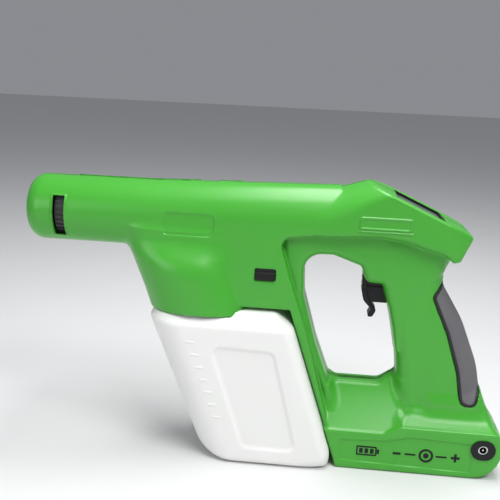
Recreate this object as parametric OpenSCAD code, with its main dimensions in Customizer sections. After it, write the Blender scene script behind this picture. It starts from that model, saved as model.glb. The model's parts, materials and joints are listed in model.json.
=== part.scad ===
// Hand-held electrostatic sprayer with a lift-off tank, in millimetres.
// X runs along the spray barrel with the nozzle at -X. Z is up, and the base and
// the tank stand on z = 0. Y = 0 is the plane on which the two shells meet.
// The origin is a point of the tank's flat underside.

/* [Overall] */
// Length from the nose to the heel of the base
total_l = 404; // [403:1:405]
// Thickness of the moulded shells
wall = 2.5; // [2:0.1:2.6]
// Lean of the tank, the cowl and the column behind the tank, in degrees
tilt = 19; // [18.5:0.5:19.5]

/* [Barrel] */
// Radius of the round spray barrel
barrel_r = 27.75; // [27.5:0.05:28]
// Height of the barrel's axis
barrel_z = 201.5; // [200:0.5:202]
// Length of the rounded nose
nose_l = 13; // [12:1:14]
// Radius of the mouth in the nose
mouth_r = 15; // [14.5:0.5:15.5]
// Distance from the nose to the front of the selector slots
slot_from_nose = 24.7; // [24:0.1:25]
// Width of the selector slots along the barrel
slot_w = 9.8; // [9.5:0.1:10.5]
// Height of the selector slots
slot_h = 33.5; // [32:0.5:34]

/* [Body] */
// Half width of the flat sides
side_hw = 27.75; // [27.5:0.05:28]
// Height of the body's underside over the tank
belly_z = 132; // [131.5:0.5:133]
// Radius of the cowl that takes the tank's neck
cowl_r = 43; // [42.5:0.5:43]
// Height of the cowl's rim
rim_z = 126.5; // [126:0.5:127]
// Place of the cowl's axis along the barrel, at the rim
dock_x = -50.5; // [-51:0.5:-50]

/* [Head] */
// Half width of the head
head_hw = 30; // [29:0.5:30]
// Slope of the head's top, in degrees
head_slope = 24; // [23:0.5:24.5]
// Length of the display window down the slope
window_l = 44.4; // [44:0.2:45]
// Half width of the display window
window_hw = 24.5; // [24:0.5:24.5]

/* [Grip and base] */
// Half width of the grip
grip_hw = 19; // [18.5:0.5:19.5]
// Half width of the column and the bar round the hand opening
frame_hw = 20; // [19.5:0.5:20.5]
// Half width of the battery base
base_hw = 33.5; // [33:0.5:34]
// Height of the base's front ledge
base_h = 33; // [32:0.5:34]
// Height of the base's rear ledge
heel_h = 40; // [39:0.5:41]
// Thickness of the rubber pad on the grip
pad_t = 2.4; // [2:0.1:2.4]

/* [Tank] */
// Half width of the tank
tank_hw = 43; // [42:0.5:43]
// Wall of the blown tank
tank_wall = 2.2; // [1.8:0.1:2.4]
// Height of the tank's top face
tank_h = 129.5; // [129:0.5:130]
// Radius of the tank's neck
neck_r = 23; // [22.5:0.5:23]

/* [Hidden] */

green = "#4aa83a";
heel_x = 205;
nose_x = heel_x - total_l;
// Horizontal run of a leaning line for each millimetre of fall
lean = tan(tilt);
// The column's front face, which the tank's back slides along
column_x0 = 25.4;
tank_gap = 0.9;
// Cone that carries the barrel's round top up into the head
cone_x = 50;
cone_end_x = 180;
cone_grow = 0.32;
// Point on the sloping top of the head, at the middle of the window
window_x = 124;
window_z = 221;
window_floor = 7;
// Wheel of the nozzle selector, and how far the slots sit below its axis
slot_drop = 3.25;
wheel_t = slot_w - 1.6;
wheel_r = barrel_r - wall - 0.95;
wheel_x = nose_x + slot_from_nose + slot_w / 2;
spindle_r = 3;
run_gap = 0.05;
tip_ring_r = 8.5;
hub_r = 13;
// Pump, set in the middle of the barrel
pump_x = -62;
pump_l = 32;
motor_l = 33;
motor_r = 12.15;
hose_r = 3.6;
hose_bore = 2.2;
// Height of the tank's top under the cowl
tank_top_z = rim_z - 0.6;
// Docking parts, as heights along the cowl's axis above the rim
socket_t0 = 36;
neck_top = 17;
cap_t0 = 9.2;
cap_top = 24;
plug_top = 26;
spigot_r = 7;
pickup_foot = -121;
// Release button, centre and size
button_x = 2.75;
button_z = 160.6;
button_w = 16.5;
button_h = 9.3;
hook_x = 3;
hook_top = 146;
// Trigger
trigger_hw = 8;
trigger_gap = 0.6;
trigger_back_x = 114;
trigger_axis_z = 147;
// Cells of the 18650 size
cell_r = 9.3;
cell_l = 65.2;
cell_x = 76;
cell_z = 12.4;
cell_pitch = 19.5;
// Charging socket
jack_x = 189.4;
jack_z = 26;
jack_r = 6.5;
// Screws: shank and head, and where the head sits
screw_r = 1.4;
screw_head_r = 2.9;
screw_seat_y = 10;
screw_l = 18;
SCREWS = [
    [-140, 180.5], [-118, 222.5], [0, 223], [22, 150], [64, 214],
    [152, 190], [128, 100], [72, 40], [186, 9]
];

/* ---------- shared shapes ---------- */

function column_x(z) = column_x0 + (belly_z - z) * lean;
// The same face for the plates that meet it, each set back a little more than the one above
function front_x(z, plate) = column_x(z) + 0.05 * plate;
function slope_z(x) = window_z - (x - window_x) * tan(head_slope);
function arc(cx, cz, r, a0, a1, steps) = [
    for (i = [0:steps]) let (a = a0 + (a1 - a0) * i / steps) [cx + r * cos(a), cz + r * sin(a)]
];

// A side view drawn in X and Z, given a width along Y
module side_extrude(half_w) {
    rotate([90, 0, 0]) linear_extrude(2 * half_w, center = true) children();
}

module shrunk(points, corner_r, shrink) {
    offset(r = corner_r, $fn = 16) offset(delta = -(corner_r + shrink)) polygon(points);
}

// A convex side view with rounded edges, shrunk by inset all round
module side_plate(points, half_w, corner_r, edge_r, inset = 0) {
    steps = 2;
    hull() for (i = [0:steps]) {
        a = 90 * i / steps;
        side_extrude(half_w - inset - edge_r * (1 - sin(a)))
            shrunk(points, corner_r, inset + edge_r * (1 - cos(a)));
    }
}

// Local z along the barrel, towards the heel
module on_barrel(x) {
    translate([x, 0, barrel_z]) rotate([0, 90, 0]) children();
}

// Local z up the cowl's axis, from a height above the rim
module on_dock(t) {
    translate([dock_x, 0, rim_z]) rotate([0, -tilt, 0]) translate([0, 0, t]) children();
}

// Local x down the head's slope, local z out of it
module on_slope(h) {
    translate([window_x, 0, window_z]) rotate([0, head_slope, 0]) translate([0, 0, h]) children();
}

// Local z along +Y from a point of the side view
module across(x, y, z) {
    translate([x, y, z]) rotate([-90, 0, 0]) children();
}

module ring(r_out, r_in, h) {
    difference() {
        cylinder(r = r_out, h = h, $fn = 64);
        translate([0, 0, -1]) cylinder(r = r_in, h = h + 2, $fn = 64);
    }
}

module o_ring(ring_r, section_r) {
    rotate_extrude($fn = 64) translate([ring_r, 0]) circle(section_r, $fn = 24);
}

function bezier(c, t) = let (s = 1 - t)
    s * s * s * c[0] + 3 * s * s * t * c[1] + 3 * s * t * t * c[2] + t * t * t * c[3];

// A line through the middles of a list of points, rounded at each point between
function rounded_path(points) = let (last = len(points) - 1) concat([points[0]],
    [for (i = [1:last - 1], t = [0:0.5:1])
        let (m0 = (points[i - 1] + points[i]) / 2, m1 = (points[i] + points[i + 1]) / 2)
        if (t > 0 || i == 1) (1 - t) * (1 - t) * m0 + 2 * t * (1 - t) * points[i] + t * t * m1],
    [points[last]]);

// Rings of points round a path, one ring for each radius at each point
function sweep_rings(path, radii, sides) = let (last = len(path) - 1)
    [for (i = [0:last]) let (
        along = path[min(i + 1, last)] - path[max(i - 1, 0)],
        n1 = cross(along, [0, 1, 0]) / norm(cross(along, [0, 1, 0])),
        n2 = cross(along, n1) / norm(cross(along, n1)))
        for (r = radii, k = [0:sides - 1])
            path[i] + r * (n1 * cos(360 * k / sides) + n2 * sin(360 * k / sides))];

// Solid round wire along a path
module wire(points, r) {
    sides = 8;
    path = rounded_path(points);
    last = len(path) - 1;
    walls = [for (i = [0:last - 1], k = [0:sides - 1]) let (k1 = (k + 1) % sides)
        [i * sides + k, (i + 1) * sides + k, (i + 1) * sides + k1, i * sides + k1]];
    ends = [[for (k = [0:sides - 1]) k], [for (k = [sides - 1:-1:0]) last * sides + k]];
    polyhedron(sweep_rings(path, [r], sides), concat(walls, ends));
}

// Hose from one barb to another, straight at its ends along from_dir and to_dir
module hose(from, from_dir, to, to_dir, reach) {
    barb_l = 7;
    sides = 10;
    steps = 10;
    a = from + barb_l * from_dir;
    b = to - barb_l * to_dir;
    path = concat([from], [for (i = [0:steps]) bezier([a, a + reach * from_dir, b - reach * to_dir, b],
        i / steps)], [to]);
    last = len(path) - 1;
    function at(i, layer, k) = (2 * i + layer) * sides + k % sides;
    walls = [for (i = [0:last - 1], k = [0:sides - 1]) each [
        [at(i, 0, k), at(i + 1, 0, k), at(i + 1, 0, k + 1), at(i, 0, k + 1)],
        [at(i, 1, k + 1), at(i + 1, 1, k + 1), at(i + 1, 1, k), at(i, 1, k)]]];
    ends = [for (k = [0:sides - 1]) each [
        [at(0, 0, k + 1), at(0, 1, k + 1), at(0, 1, k), at(0, 0, k)],
        [at(last, 0, k), at(last, 1, k), at(last, 1, k + 1), at(last, 0, k + 1)]]];
    polyhedron(sweep_rings(path, [hose_r, hose_bore], sides), concat(walls, ends));
}

// Coil along local z
module coil(mean_r, wire_r, length, turns) {
    linear_extrude(length, twist = -360 * turns, slices = 9 * turns)
        translate([mean_r, 0]) scale([1, 2]) circle(wire_r, $fn = 6);
}

/* ---------- outer form of the body ---------- */

module barrel_form(inset) {
    flat_r = 17;
    long_r = nose_l - inset;
    high_r = barrel_r - inset - flat_r;
    end = cone_x + 30 - nose_x;
    on_barrel(nose_x) rotate_extrude($fn = 48)
        polygon(concat(
            [[0, inset]],
            [for (a = [0:18:90]) [flat_r + high_r * sin(a), nose_l - long_r * cos(a)]],
            [[barrel_r - inset, end], [0, end]]));
}

module cowl_form(inset) {
    shoulder = 24;
    r = cowl_r - inset;
    top = 58 - inset;
    intersection() {
        on_dock(-30) rotate_extrude($fn = 48)
            polygon(concat(
                [[0, 0], [r, 0]],
                [for (a = [0:18:90])
                    [r - shoulder * (1 - cos(a)), 30 + top - shoulder * (1 - sin(a))]],
                [[0, 30 + top]]));
        translate([-200, -100, rim_z]) cube([300, 200, 200]);
    }
    // Front of the block, round in plan like the cowl and as wide as the barrel
    intersection() {
        on_dock(-30) cylinder(r = r - 0.1, h = 120, $fn = 48);
        translate([-200, inset - side_hw, rim_z + 12])
            cube([240, 2 * (side_hw - inset), barrel_z - rim_z - 12]);
    }
}

module head_form(inset) {
    cone_l = cone_end_x - cone_x;
    rear_z = slope_z(160);
    intersection() {
        on_barrel(cone_x - 6)
            cylinder(r1 = barrel_r - inset - 6 * cone_grow, r2 = barrel_r - inset + cone_l * cone_grow,
                h = cone_l + 6, $fn = 64);
        side_extrude(head_hw - inset) offset(delta = -inset) polygon([
            [40, 190], [40, slope_z(40)], [160, rear_z], [167, rear_z - 4.5], [157, 181.5], [152, 180.5],
            [145, 185], [130.5, 190], [113, 194.6], [92, 196], [92, 190]]);
        translate([0, 0, 150]) linear_extrude(120) offset(r = 8 - inset, $fn = 24) offset(delta = -8)
            polygon([[30, -head_hw], [152, -head_hw], [172, -22], [172, 22], [152, head_hw],
                [30, head_hw]]);
    }
}

module frame_form(inset) {
    // Body block behind the cowl, and the strip down the column's front
    side_plate([[-75, belly_z], [32.2, belly_z], [12, 200], [-75, 200]], side_hw, 2, 3, inset);
    side_plate([[front_x(140, 0), 140], [29.5, 140], [57, 50], [62.5, 26], [front_x(26, 0), 26]],
        side_hw, 0.5, 1.5, inset);
    // Web, column, bar and trigger shroud round the hand opening
    side_plate([[8, 196], [44, 196], [36, 171], [34.5, 160], [36, 138], [front_x(138, 1), 138]],
        frame_hw, 2, 6, inset);
    side_plate([[30, 196], [34.5, 165], [40, 176], [50, 178.5], [60, 196]], frame_hw, 1, 6, inset);
    side_plate([[front_x(150, 2), 150], [35, 146], [59, 77], [64, 60], [front_x(60, 2), 60]],
        frame_hw, 1, 5, inset);
    side_plate([[30, 204], [30, 178.5], [150, 178.5], [150, 200], [140, 204]],
        frame_hw, 2, 6, inset);
    side_plate([[52, 180.4], [80, 170.9], [112, 162.4], [112, 192.3], [52, 192.3]], frame_hw, 1, 6,
        inset);
    side_plate([[78, 180], [80.5, 170], [84, 163], [88.5, 158.3], [98, 157], [112, 157], [112, 184],
        [78, 184]], frame_hw, 1, 6, inset);
    // Base with its stepped ledge and rounded heel, the hip and the foot of the grip
    side_plate(concat([[front_x(0, 3), 0]], arc(heel_x - 22, 22, 22, -90, 0, 6),
        [[heel_x, base_h], [front_x(base_h, 3), base_h]]), base_hw, 1, 2.5, inset);
    side_plate([[107.2, 20], [heel_x, 20], [heel_x, 31], [201, heel_h], [120.6, heel_h]],
        base_hw, 1, 2.5, inset);
    hull() {
        side_plate([[62.5, 22], [118, 22], [118, base_h], [front_x(base_h, 4), base_h]],
            base_hw, 1, 2.5, inset);
        side_plate([[front_x(68, 4), 68], [116, 68], [114, 75.5], [front_x(75.5, 4), 75.5]], frame_hw,
            1, 5, inset);
    }
    hull() {
        side_plate([[122, 30], [202, 30], [200.3, heel_h - 0.2], [122, heel_h - 0.2]], base_hw - 0.15,
            1, 2.5, inset);
        side_plate([[128, 40], [196, 40], [192, 53], [130, 53]], 23, 1, 5, inset);
    }
    side_plate([[140, 30], [203, 32], [195, 49], [186, 65], [140, 65]], 22, 2, 6, inset);
}

module grip_form(inset) {
    side_plate([[98, 190], [99, 150], [147, 150], [147, 190]], grip_hw, 2, 8, inset);
    side_plate([[98, 160], [100, 152], [105.5, 136], [109.5, 118], [164.8, 129], [156.5, 144.4],
        [148.5, 160]], grip_hw, 2, 8, inset);
    side_plate([[107, 134], [110, 118], [113, 100], [115.5, 79], [116, 38], [190, 38], [186.2, 60],
        [184.2, 74.6], [180.3, 92.2], [173.5, 110.8], [162, 134]], grip_hw, 2, 8, inset);
}

module body_form(inset) {
    barrel_form(inset);
    cowl_form(inset);
    head_form(inset);
    frame_form(inset);
    grip_form(inset);
}

module pad_outline(grow) {
    offset(delta = grow) polygon([
        [152, 162], [146, 159], [142, 152], [141.3, 146], [147, 133.4], [153.7, 119.7], [159.2, 104.4],
        [164.9, 87.5], [168.9, 68.8], [172, 62], [178, 58.5], [184, 59.5], [200, 66], [196, 130],
        [170, 165]]);
}

/* ---------- the two shells ---------- */

module shell_bosses(side) {
    for (s = SCREWS) intersection() {
        across(s[0], side < 0 ? -60 : 0, s[1]) cylinder(r = side < 0 ? 3.2 : 4.8, h = 60, $fn = 20);
        body_form(0.4);
    }
}

module screw_holes(side) {
    for (s = SCREWS) {
        if (side < 0)
            across(s[0], -10, s[1]) cylinder(r = screw_r + 0.1, h = 11, $fn = 16);
        if (side > 0) {
            across(s[0], -1, s[1]) cylinder(r = screw_r + 0.3, h = 20, $fn = 16);
            across(s[0], screw_seat_y, s[1]) cylinder(r = screw_head_r + 0.3, h = 60, $fn = 20);
        }
    }
}

module shell_openings(side) {
    // Mouth, selector slots and the cowl's mouth for the tank's neck
    on_barrel(nose_x - 5) cylinder(r = mouth_r, h = 20, $fn = 48);
    translate([nose_x + slot_from_nose, -60, barrel_z - slot_drop - slot_h / 2]) cube([slot_w, 120, slot_h]);
    on_dock(-40) cylinder(r = cowl_r - wall, h = 70, $fn = 64);
    // Display window
    on_slope(-window_floor) translate([-window_l / 2, -window_hw, 0])
        cube([window_l, 2 * window_hw, window_floor + 10]);
    // Slot for the trigger, and the way in for the tank's hook
    translate([78, -trigger_hw - trigger_gap, 136.5])
        cube([38, 2 * (trigger_hw + trigger_gap), 33]);
    translate([-4, -6, belly_z - 4]) cube([19, 16, 10]);
    if (side < 0) {
        translate([button_x - button_w / 2 - 0.2, -60, button_z - button_h / 2 - 0.2])
            cube([button_w + 0.4, 60, button_h + 0.4]);
        across(jack_x, -40, jack_z) cylinder(r = jack_r + 0.2, h = 20, $fn = 48);
    }
}

module pad_recess() {
    difference() {
        side_extrude(60) pad_outline(0);
        grip_form(pad_t + 0.1);
    }
}

module pad_backing() {
    intersection() {
        difference() {
            grip_form(0.3);
            grip_form(pad_t + wall);
        }
        side_extrude(60) pad_outline(wall);
    }
}

module housing_shell(side) {
    difference() {
        intersection() {
            union() {
                difference() {
                    body_form(0);
                    body_form(wall);
                }
                pad_backing();
                shell_bosses(side);
            }
            translate([-300, side < 0 ? -100 : 0, -10]) cube([600, 100, 300]);
        }
        pad_recess();
        shell_openings(side);
        screw_holes(side);
    }
}

module housing_left() {
    color(green) housing_shell(-1);
}

module housing_right() {
    color(green) housing_shell(1);
}

module housing_screws() {
    color("silver") for (s = SCREWS) difference() {
        union() {
            across(s[0], screw_seat_y - screw_l, s[1]) cylinder(r = screw_r, h = screw_l, $fn = 24);
            across(s[0], screw_seat_y, s[1]) cylinder(r = screw_head_r, h = 2.2, $fn = 32);
        }
        across(s[0], screw_seat_y + 1, s[1]) cylinder(r = 1.5, h = 3, $fn = 6);
    }
}

module grip_pad() {
    color("dimgray") intersection() {
        difference() {
            grip_form(0);
            grip_form(pad_t);
        }
        side_extrude(60) pad_outline(-0.15);
    }
}

/* ---------- nozzle ---------- */

module nose_insert() {
    lip_l = 2;
    flange_x = 6.2;
    color("#202020") on_barrel(nose_x) difference() {
        union() {
            cylinder(r1 = mouth_r - 1, r2 = mouth_r - 0.1, h = lip_l, $fn = 64);
            translate([0, 0, lip_l]) cylinder(r = mouth_r - 0.1, h = flange_x - lip_l, $fn = 64);
            translate([0, 0, flange_x - 2]) cylinder(r = 18.5, h = 2, $fn = 64);
        }
        translate([0, 0, -0.01]) cylinder(r1 = mouth_r - 1.8, r2 = 12, h = flange_x + 0.02, $fn = 64);
    }
}

module electrode_ring() {
    color("silver") on_barrel(nose_x + 6.5) ring(15.5, 12.2, 1.6);
}

module nozzle_selector() {
    ridge_count = 36;
    color("#3a3a3c") on_barrel(wheel_x - wheel_t / 2) difference() {
        union() {
            cylinder(r = wheel_r - 0.8, h = wheel_t, $fn = 72);
            for (i = [0:ridge_count - 1]) rotate([0, 0, 360 * i / ridge_count])
                translate([wheel_r - 1.2, -0.9, 0.6]) cube([1.2, 1.8, wheel_t - 1.2]);
            translate([0, 0, -10]) cylinder(r = hub_r, h = 11, $fn = 48);
        }
        translate([0, 0, -20]) cylinder(r = spindle_r + run_gap, h = 40, $fn = 48);
        for (i = [0:2]) rotate([0, 0, 120 * i]) translate([tip_ring_r, 0, -20])
            cylinder(r = 2.5, h = 40, $fn = 32);
    }
}

module nozzle_tips() {
    color("goldenrod") on_barrel(wheel_x - wheel_t / 2) for (i = [0:2]) rotate([0, 0, 120 * i])
        translate([tip_ring_r, 0, 0]) difference() {
            union() {
                translate([0, 0, -9.8]) cylinder(r = 2.45, h = 10, $fn = 32);
                translate([0, 0, -12]) cylinder(r1 = 1.6, r2 = 2.45, h = 2.2, $fn = 32);
            }
            translate([0, 0, -13]) cylinder(r = 0.5 + 0.2 * i, h = 14, $fn = 24);
        }
}

module spindle_clip() {
    color("silver") on_barrel(wheel_x - wheel_t / 2 - 11.3) ring(5, spindle_r + run_gap, 1);
}

module selector_seal() {
    color("#202020") on_barrel(wheel_x + wheel_t / 2 + 1.7) o_ring(14.5, 1.6);
}

module nozzle_seat() {
    seat_x = wheel_x + wheel_t / 2 + 3.4;
    color("whitesmoke") difference() {
        union() {
            on_barrel(seat_x) cylinder(r = barrel_r - wall - 0.3, h = 10, $fn = 64);
            on_barrel(seat_x - 26) cylinder(r = spindle_r, h = 27, $fn = 48);
            on_barrel(seat_x + 9) translate([tip_ring_r, 0, 0]) cylinder(r = hose_bore - 0.2, h = 8, $fn = 32);
        }
        on_barrel(seat_x - 1) translate([tip_ring_r, 0, 0]) cylinder(r = 1.2, h = 22, $fn = 24);
    }
}

/* ---------- high voltage, pump and hoses ---------- */

module hv_module() {
    color("#303034") translate([-112, -12, 201]) difference() {
        cube([46, 24, 17]);
        for (x = [4, 42]) translate([x, 12, 12]) cylinder(r = 1.6, h = 6, $fn = 24);
    }
}

module hv_lead() {
    color("firebrick") wire([[-112.2, 0, 209], [-124, 0, 209], [-136, 0, 203], [-149, 0, 203]], 1.5);
}

module pump_head() {
    z0 = barrel_z - 15.5;
    color("#2b2b2e") difference() {
        union() {
            translate([pump_x, -14, z0]) cube([pump_l, 28, 29]);
            for (y = [-8, 8]) translate([pump_x - 8.3, y, z0 + 6]) rotate([0, 90, 0])
                cylinder(r = hose_bore - 0.2, h = 11, $fn = 32);
            for (y = [-11, 11], z = [4, 25]) translate([pump_x - 1.2, y, z0 + z]) rotate([0, 90, 0])
                cylinder(r = 2, h = 3, $fn = 24);
        }
        for (y = [-8, 8]) translate([pump_x - 10, y, z0 + 6]) rotate([0, 90, 0])
            cylinder(r = 1.2, h = 20, $fn = 24);
    }
}

module pump_motor() {
    color("silver") translate([pump_x + pump_l + 0.1, 0, barrel_z - 0.5]) rotate([0, 90, 0]) {
        cylinder(r = motor_r, h = motor_l, $fn = 64);
        translate([0, 0, motor_l]) cylinder(r = 4, h = 2, $fn = 32);
    }
}

module pump_mount() {
    color("#202020") difference() {
        on_barrel(-14) cylinder(r = barrel_r - wall - 0.3, h = 8, $fn = 64);
        translate([-20, 0, barrel_z - 0.5]) rotate([0, 90, 0])
            cylinder(r = motor_r + 0.05, h = 20, $fn = 64);
        // Flat underside, open to the tank bay, and a way for the wires
        translate([-20, -40, barrel_z - 60]) cube([20, 80, 42]);
        translate([-20, -4, barrel_z + 17]) cube([20, 8, 20]);
    }
}

module outlet_hose() {
    seat_end = wheel_x + wheel_t / 2 + 13.6;
    color("#d8dde0") hose([pump_x - 1.5, 8, barrel_z - 9.5], [-1, 0, 0],
        [seat_end, 0, barrel_z - tip_ring_r], [-1, 0, 0], 25);
}

module inlet_hose() {
    up = [-sin(tilt), 0, cos(tilt)];
    color("#d8dde0") hose([dock_x, 0, rim_z] + (socket_t0 + 6) * up, up,
        [pump_x - 1.5, -8, barrel_z - 9.5], [1, 0, 0], 14);
}

/* ---------- docking socket ---------- */

module tank_socket() {
    color("whitesmoke") on_dock(socket_t0) difference() {
        union() {
            cylinder(r = 34, h = 3, $fn = 64);
            cylinder(r = 14, h = 5, $fn = 48);
            translate([0, 0, -22]) cylinder(r = spigot_r, h = 23, $fn = 48);
            cylinder(r = hose_bore - 0.2, h = 12.6, $fn = 32);
        }
        translate([0, 0, -23]) cylinder(r = 1.4, h = 40, $fn = 24);
        translate([0, 0, -17.5]) difference() {
            cylinder(r = spigot_r + 2, h = 2, $fn = 48);
            translate([0, 0, -1]) cylinder(r = spigot_r - 1, h = 4, $fn = 48);
        }
        for (i = [0:2]) rotate([0, 0, 60 + 120 * i]) translate([29, 0, -1])
            cylinder(r = 1.8, h = 6, $fn = 24);
    }
}

module socket_seal() {
    color("#202020") on_dock(socket_t0 - 16.5) o_ring(spigot_r - 0.2, 0.75);
}

/* ---------- tank and cap ---------- */

function tank_front(z) = -97.3 + (115 - z) * 0.405;
function tank_back(z) = column_x(z) - tank_gap;

// One level of the tank in plan, drawn in by front, back and side amounts
module tank_level(z, in_front, in_back, in_side) {
    front_r = 30;
    back_r = 9;
    x0 = tank_front(z) + in_front;
    x1 = tank_back(z) - in_back;
    hw = tank_hw - in_side;
    translate([0, 0, z]) linear_extrude(0.02) hull() for (s = [-1, 1]) {
        translate([x0 + front_r, s * (hw - front_r)]) circle(front_r, $fn = 28);
        translate([x1 - back_r, s * (hw - back_r)]) circle(back_r, $fn = 16);
    }
}

// Room for the cowl's rim: the tank's top is lower inside this cylinder
module rim_room(inset) {
    intersection() {
        on_dock(-50) cylinder(r = cowl_r + 0.6 + inset, h = 120, $fn = 48);
        translate([-150, -100, tank_top_z - inset]) cube([200, 200, 50]);
    }
}

module tank_form(inset) {
    steps = 4;
    foot_r = 14;
    shoulder_r = 13;
    hull() for (i = [0:steps]) {
        a = 90 * i / steps;
        rise = 1 - cos(a);
        draw = 1 - sin(a);
        tank_level(inset + (foot_r - inset) * rise, inset + 18 * draw, inset + 16 * draw,
            inset + 9 * draw);
        tank_level(tank_h - 0.02 - inset - (shoulder_r - inset) * rise, inset + 14 * draw,
            inset + 3 * draw, inset + 13 * draw);
    }
}

module tank() {
    mark_w = 5.5;
    color("white") difference() {
        union() {
            difference() {
                tank_form(0);
                rim_room(0);
                difference() {
                    tank_form(tank_wall);
                    rim_room(tank_wall);
                }
                // Sunk panel on each side
                for (s = [-1, 1]) translate([0, s * (tank_hw + 4.2), 0]) side_extrude(5)
                    offset(r = 6, $fn = 24) offset(delta = -6)
                    polygon([[-37, 101], [13, 101], [38, 15], [-9, 15]]);
            }
            intersection() {
                on_dock(-20) cylinder(r = neck_r, h = neck_top + 20, $fn = 64);
                translate([-150, -100, tank_top_z - tank_wall + 0.2]) cube([200, 200, 80]);
            }
            for (t = [10.5, 14]) on_dock(t) ring(neck_r + 1, neck_r - 1, 1.4);
            // Hook that the catch holds
            translate([hook_x - 5, -4, tank_h - 1]) cube([10, 8, hook_top - tank_h + 1]);
            translate([hook_x - 5, 3, hook_top - 4]) cube([10, 5, 4]);
            // Level marks
            for (i = [0:6]) translate([-64 + 4 * i, -tank_hw - 0.35, 104 - 10.5 * i])
                cube([mark_w, 0.8, 0.9]);
        }
        on_dock(-25) cylinder(r = neck_r - 2.5, h = neck_top + 40, $fn = 64);
    }
}

module tank_cap() {
    rib_count = 40;
    height = cap_top - cap_t0;
    color("whitesmoke") on_dock(cap_t0) difference() {
        union() {
            cylinder(r = 27.4, h = height, $fn = 64);
            for (i = [0:rib_count - 1]) rotate([0, 0, 360 * i / rib_count])
                translate([27, -0.8, 1]) cube([1.4, 1.6, height - 2]);
        }
        translate([0, 0, -1]) cylinder(r = neck_r + 1.3, h = height - 1.9, $fn = 64);
        translate([0, 0, -1]) cylinder(r = 14, h = 30, $fn = 64);
    }
}

module cap_gasket() {
    color("#202020") on_dock(neck_top) ring(neck_r - 0.2, 17, 1.5);
}

module dock_plug() {
    flange_t = neck_top + 1.5;
    color("whitesmoke") on_dock(0) difference() {
        union() {
            translate([0, 0, flange_t]) cylinder(r = neck_r - 0.2, h = 2.5, $fn = 64);
            cylinder(r = 12, h = plug_top, $fn = 64);
        }
        translate([0, 0, 5]) cylinder(r = spigot_r + 0.6, h = plug_top, $fn = 64);
        translate([0, 0, -1]) cylinder(r = 3.6, h = 10, $fn = 48);
    }
}

module cap_valve() {
    color("#3a3a3c") on_dock(5.2) {
        cylinder(r = 6.4, h = 3, $fn = 48);
        translate([0, 0, 3]) cylinder(r = 2, h = 5.4, $fn = 32);
    }
}

module pickup_tube() {
    color("#d8dde0") on_dock(pickup_foot + 4) ring(3.5, 2.3, -pickup_foot);
}

module pickup_filter() {
    color("#3a3a3c") on_dock(pickup_foot) difference() {
        cylinder(r = 7, h = 14, $fn = 48);
        translate([0, 0, 3.9]) cylinder(r = 3.6, h = 20, $fn = 48);
        for (i = [0:7]) rotate([0, 0, 45 * i]) translate([4.6, -0.6, 1.5]) cube([4, 1.2, 11]);
    }
}

/* ---------- tank release ---------- */

module latch_button() {
    y0 = -side_hw - 1.4;
    color("#1c1c1e") translate([button_x, 0, button_z]) {
        translate([-button_w / 2, y0, -button_h / 2]) cube([button_w, 3.5, button_h]);
        translate([-button_w / 2, y0, -button_h / 2]) cube([button_w, 14, button_h - 1.8]);
        translate([-button_w / 2 - 1.8, -side_hw + wall + 0.2, -button_h / 2 - 1.8])
            cube([button_w + 3.6, 2, button_h + 3.6]);
    }
}

module latch_bar() {
    arm_y0 = -side_hw + 12.8;
    bar_z = 137;
    color("#3a3a3c") {
        // Stem down from the button, then a frame round the hook
        translate([button_x - 7, arm_y0, bar_z]) cube([14, 2.5, 29]);
        for (x = [-7.2, 13]) translate([x, arm_y0, bar_z]) cube([2.5, 9.6 - arm_y0, 4.5]);
        translate([-7.2, arm_y0, bar_z]) cube([22.7, 2.5, 4.5]);
        translate([-7.2, 6.6, bar_z]) cube([22.7, 3, 4.5]);
    }
}

module latch_spring() {
    color("silver") across(button_x, 9.7, 139.2) coil(3, 0.35, side_hw - wall - 9.9, 5);
}

/* ---------- trigger ---------- */

module trigger() {
    color("#1c1c1e") difference() {
        side_extrude(trigger_hw) polygon(concat(
            [[82.6, 168], [82.3, 150], [82.8, 143.5]],
            // Finger hook: the front curves back and down to a rounded tip
            [[84, 140.3], [86.2, 136.3], [89.6, 132.4], [90.9, 129.6], [89.4, 126.4]],
            [[90.6, 124.9], [93, 127], [94, 130], [92.8, 133.4], [89.6, 137.6]],
            [[trigger_back_x, 137.6], [trigger_back_x, 156.4], [92, 156.4], [91, 168]]));
        // Seat for the return spring
        translate([trigger_back_x - 4, 0, trigger_axis_z]) rotate([0, 90, 0])
            cylinder(r = 3.4, h = 6, $fn = 32);
        // Grooves for the finger
        for (z = [146:3:158]) translate([82, -trigger_hw - 1, z]) rotate([-90, 0, 0])
            cylinder(r = 0.6, h = 2 * trigger_hw + 2, $fn = 16);
    }
}

module trigger_spring() {
    color("silver") translate([trigger_back_x - 3.9, 0, trigger_axis_z]) rotate([0, 90, 0])
        coil(2.6, 0.35, 13.8, 5);
}

module trigger_switch() {
    x0 = trigger_back_x + 10;
    color("#202024") {
        translate([x0, -6, 139]) cube([14, 12, 15]);
        translate([x0 - 3.4, 0, trigger_axis_z - 6]) rotate([0, 90, 0])
            cylinder(r = 1.2, h = 4, $fn = 24);
        for (z = [142, 150]) translate([x0 + 14, -2, z]) cube([3, 4, 0.8]);
    }
}

/* ---------- display ---------- */

module display_bezel() {
    l = window_l - 0.3;
    hw = window_hw - 0.15;
    frame_w = 2;
    color("#1c1c1e") on_slope(-window_floor + 0.2) difference() {
        union() {
            translate([-l / 2, -hw, 0]) cube([l, 2 * hw, window_floor - 1.2]);
            translate([-l / 2 - 2.2, -hw - 1.6, 0.2]) cube([l + 4.4, 2 * hw + 3.2, 3.8]);
        }
        translate([-l / 2 + frame_w, -hw + frame_w, 2])
            cube([l - 2 * frame_w, 2 * (hw - frame_w), window_floor]);
        translate([-l / 2 + 6, -hw + 6, -1]) cube([l - 12, 2 * hw - 12, window_floor]);
    }
}

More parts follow.
